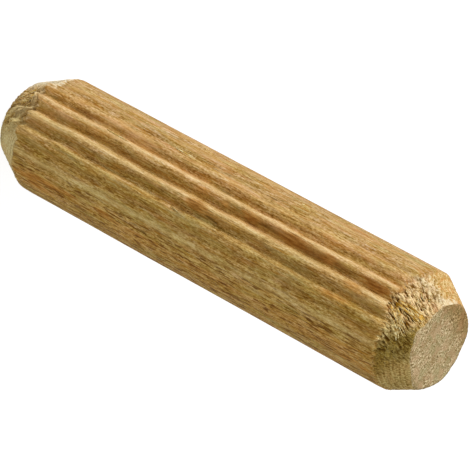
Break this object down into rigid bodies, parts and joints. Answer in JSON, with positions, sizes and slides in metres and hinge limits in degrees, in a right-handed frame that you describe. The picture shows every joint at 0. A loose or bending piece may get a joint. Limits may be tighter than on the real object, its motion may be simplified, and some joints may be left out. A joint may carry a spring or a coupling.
{
  "type": "dowel pin",
  "caption": "Straight hardwood dowel pin with bands of pressed lengthwise flutes and chamfered ends, glued into drilled holes to join and align boards.",
  "frame": {"origin": "centre of the lower sawn end face, which the pin stands on", "axes": "+Z along the pin's axis towards the upper end; -Y towards the middle flute of the first band of flutes"},
  "size_m": [0.008, 0.008, 0.035],
  "materials": {
    "wood": "raw turned hardwood, lightly burnished by the fluting rollers, with sawn end grain"
  },
  "bodies": {
    "root": {"dowel_pin": "wood"}
  },
  "joints": []
}
